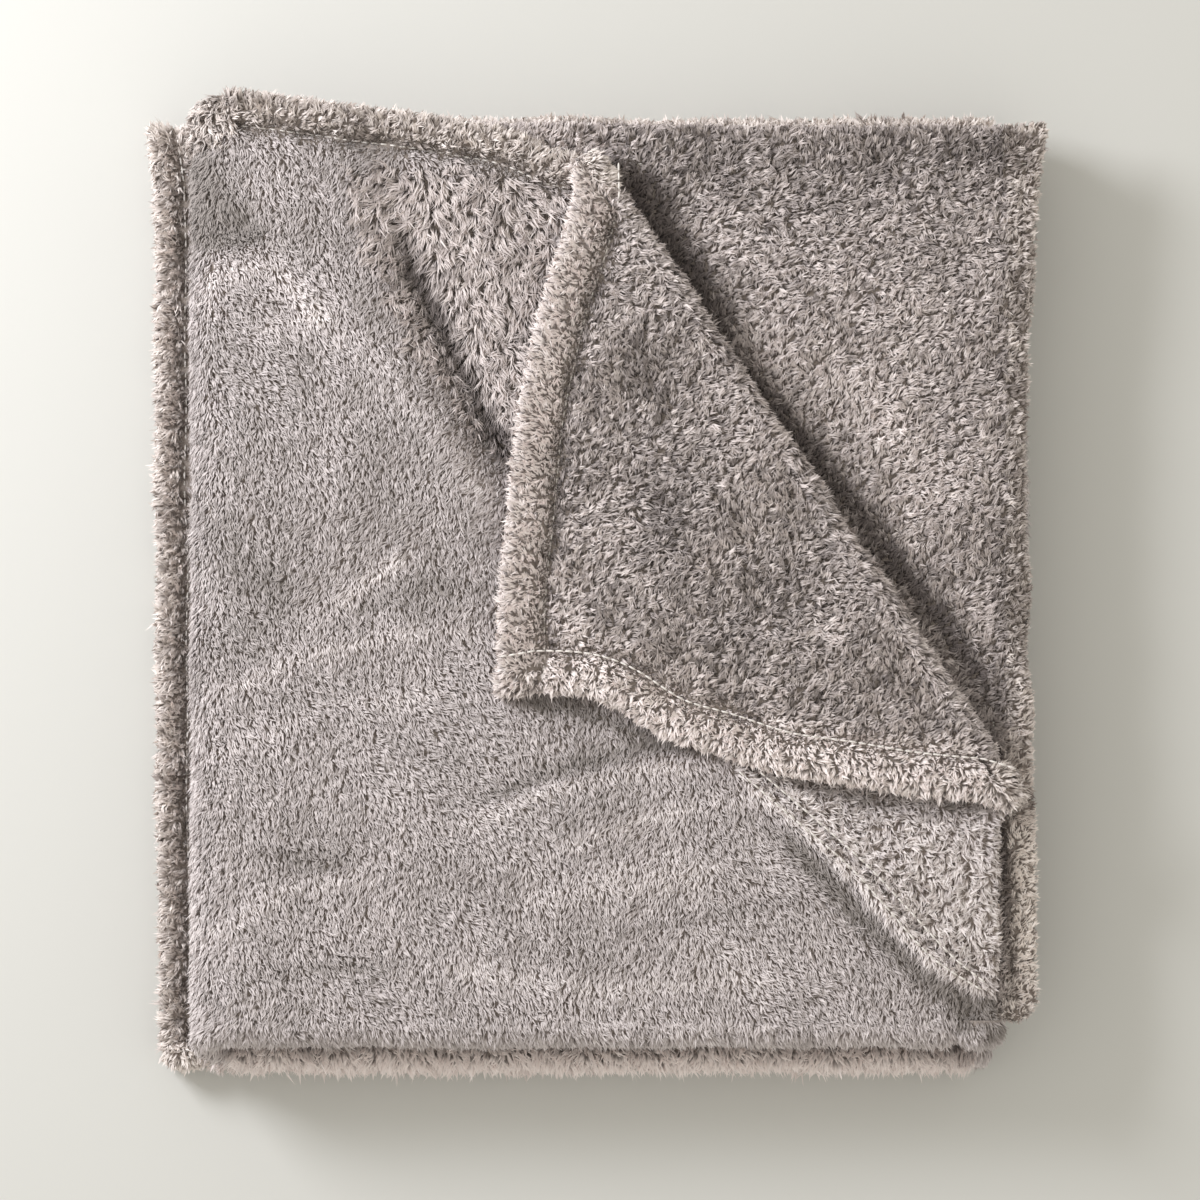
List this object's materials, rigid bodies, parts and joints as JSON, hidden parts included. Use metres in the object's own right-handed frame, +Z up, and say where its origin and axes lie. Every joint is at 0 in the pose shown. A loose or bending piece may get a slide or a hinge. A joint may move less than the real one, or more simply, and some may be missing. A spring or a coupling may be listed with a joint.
{
  "type": "folded throw blanket",
  "caption": "Two-ply plush and sherpa throw blanket, folded in half and then in thirds, with bordered edges and its top corner turned back.",
  "frame": {"origin": "centre of the folded stack's footprint, on the surface it lies on", "axes": "+Z up out of the stack; +Y along the folded depth, towards the hemmed end; +X along the folded width, towards the side where the corner is turned back over the open edge"},
  "size_m": [0.596, 0.653, 0.0984],
  "materials": {
    "plush_face": "matte",
    "sherpa_back": "matte",
    "border_plush": "matte",
    "polyester_thread": "matte"
  },
  "bodies": {
    "lower_third": {"layer5_back_ply": "sherpa_back", "layer5_face_ply": "plush_face", "layer5_hem_left": "border_plush", "layer5_hem_top": "border_plush", "layer5_topstitch_left": "polyester_thread", "layer5_topstitch_top": "polyester_thread", "layer6_back_ply": "sherpa_back", "layer6_face_ply": "plush_face", "layer6_hem_left": "border_plush", "layer6_hem_top": "border_plush", "layer6_topstitch_left": "polyester_thread", "layer6_topstitch_top": "polyester_thread", "lower_end_fold_back_ply": "sherpa_back", "lower_end_fold_face_ply": "plush_face", "right_fold_inner_back_ply": "sherpa_back", "right_fold_inner_face_ply": "plush_face", "right_fold_outer_back_ply": "sherpa_back", "right_fold_outer_face_ply": "plush_face"},
    "middle_third": {"layer3_back_ply": "sherpa_back", "layer3_face_ply": "plush_face", "layer3_hem_top": "border_plush", "layer3_topstitch_top": "polyester_thread", "layer4_back_ply": "sherpa_back", "layer4_face_ply": "plush_face", "layer4_hem_top": "border_plush", "layer4_topstitch_top": "polyester_thread", "left_fold_inner_back_ply": "sherpa_back", "left_fold_inner_face_ply": "plush_face", "left_fold_outer_back_ply": "sherpa_back", "left_fold_outer_face_ply": "plush_face", "middle_end_fold_back_ply": "sherpa_back", "middle_end_fold_face_ply": "plush_face"},
    "upper_third": {"corner_crease_back_ply": "sherpa_back", "corner_crease_face_ply": "plush_face", "layer1_back_ply": "sherpa_back", "layer1_face_ply": "plush_face", "layer1_hem_right": "border_plush", "layer1_hem_top": "border_plush", "layer1_topstitch_right": "polyester_thread", "layer1_topstitch_top": "polyester_thread", "layer2_back_ply": "sherpa_back", "layer2_face_ply": "plush_face", "layer2_hem_right": "border_plush", "layer2_hem_top": "border_plush", "layer2_topstitch_right": "polyester_thread", "layer2_topstitch_top": "polyester_thread", "upper_end_fold_back_ply": "sherpa_back", "upper_end_fold_face_ply": "plush_face"},
    "corner_flap": {"corner_flap_back_ply": "sherpa_back", "corner_flap_face_ply": "plush_face", "corner_flap_hem_left": "border_plush", "corner_flap_hem_lower": "border_plush", "corner_flap_topstitch_left": "polyester_thread", "corner_flap_topstitch_lower": "polyester_thread"}
  },
  "joints": [
    {"name": "right_fold_hinge", "type": "hinge", "parent": "lower_third", "child": "middle_third", "pos_m": [0.26195, 0, 0.02805], "axis": [0, 1, 0], "range_deg": [0, 180], "deforming": ["right_fold_inner_back_ply", "right_fold_inner_face_ply", "right_fold_outer_back_ply", "right_fold_outer_face_ply"]},
    {"name": "left_fold_hinge", "type": "hinge", "parent": "middle_third", "child": "upper_third", "pos_m": [-0.24395, 0, 0.05625], "axis": [0, -1, 0], "range_deg": [0, 180], "deforming": ["left_fold_inner_back_ply", "left_fold_inner_face_ply", "left_fold_outer_back_ply", "left_fold_outer_face_ply"]},
    {"name": "corner_crease_hinge", "type": "hinge", "parent": "upper_third", "child": "corner_flap", "pos_m": [0.13052, 0.06546, 0.08445], "axis": [-0.5552, 0.8317, 0], "range_deg": [0, 180], "deforming": ["corner_crease_back_ply", "corner_crease_face_ply"]}
  ]
}
